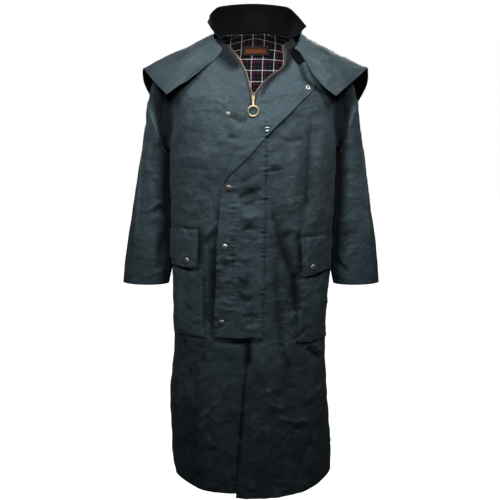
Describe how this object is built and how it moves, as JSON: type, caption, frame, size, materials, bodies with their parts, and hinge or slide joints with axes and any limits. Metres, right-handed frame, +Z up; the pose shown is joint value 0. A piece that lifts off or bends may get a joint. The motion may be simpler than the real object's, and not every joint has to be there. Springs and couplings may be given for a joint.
{
  "type": "jacket",
  "caption": "Full-length waxed riding coat with shoulder cape, corduroy-faced collar, brass zip and studded storm flap, filled out as worn",
  "frame": {"origin": "middle of the neck seam, where the wearer's neck and shoulders carry the coat", "axes": "+Z up along the coat, +X to the viewer's right, +Y from front to back"},
  "size_m": [0.715, 0.3634, 1.3358],
  "materials": {
    "wax_cotton": "waxed cotton, dark navy, soft sheen",
    "corduroy": "black needle corduroy",
    "plaid_lining": "woven plaid, navy ground",
    "label_cloth": "woven label, plain",
    "zip_tape": "woven tape",
    "brass": "polished",
    "stud_metal": "antique, dull"
  },
  "bodies": {
    "coat": {"back": "wax_cotton", "cape_back": "wax_cotton", "cape_left": "wax_cotton", "cape_right": "wax_cotton", "collar": "wax_cotton", "collar_facing": "corduroy", "front_left": "wax_cotton", "front_right": "wax_cotton", "label": "label_cloth", "lining_back": "plaid_lining", "pocket_bag_left": "wax_cotton", "pocket_bag_right": "wax_cotton", "pocket_flap_left": "wax_cotton", "pocket_flap_right": "wax_cotton", "sleeve_left": "wax_cotton", "sleeve_right": "wax_cotton", "storm_flap": "wax_cotton", "storm_flap_turned": "wax_cotton", "stud_flap_lower": "stud_metal", "stud_flap_upper": "stud_metal", "stud_fold": "stud_metal", "stud_lapel_lower": "stud_metal", "stud_lapel_upper": "stud_metal", "stud_pocket_left": "stud_metal", "stud_pocket_right": "stud_metal", "stud_post": "stud_metal", "throat_tab": "corduroy", "zip_slider": "brass", "zip_tape_left": "zip_tape", "zip_tape_right": "zip_tape"},
    "zip_pull": {"zip_pull": "brass"}
  },
  "joints": [
    {"name": "zip_pull_hinge", "type": "hinge", "parent": "coat", "child": "zip_pull", "pos_m": [0, -0.1462, -0.168], "axis": [-1, 0, 0], "range_deg": [0, 130]}
  ]
}
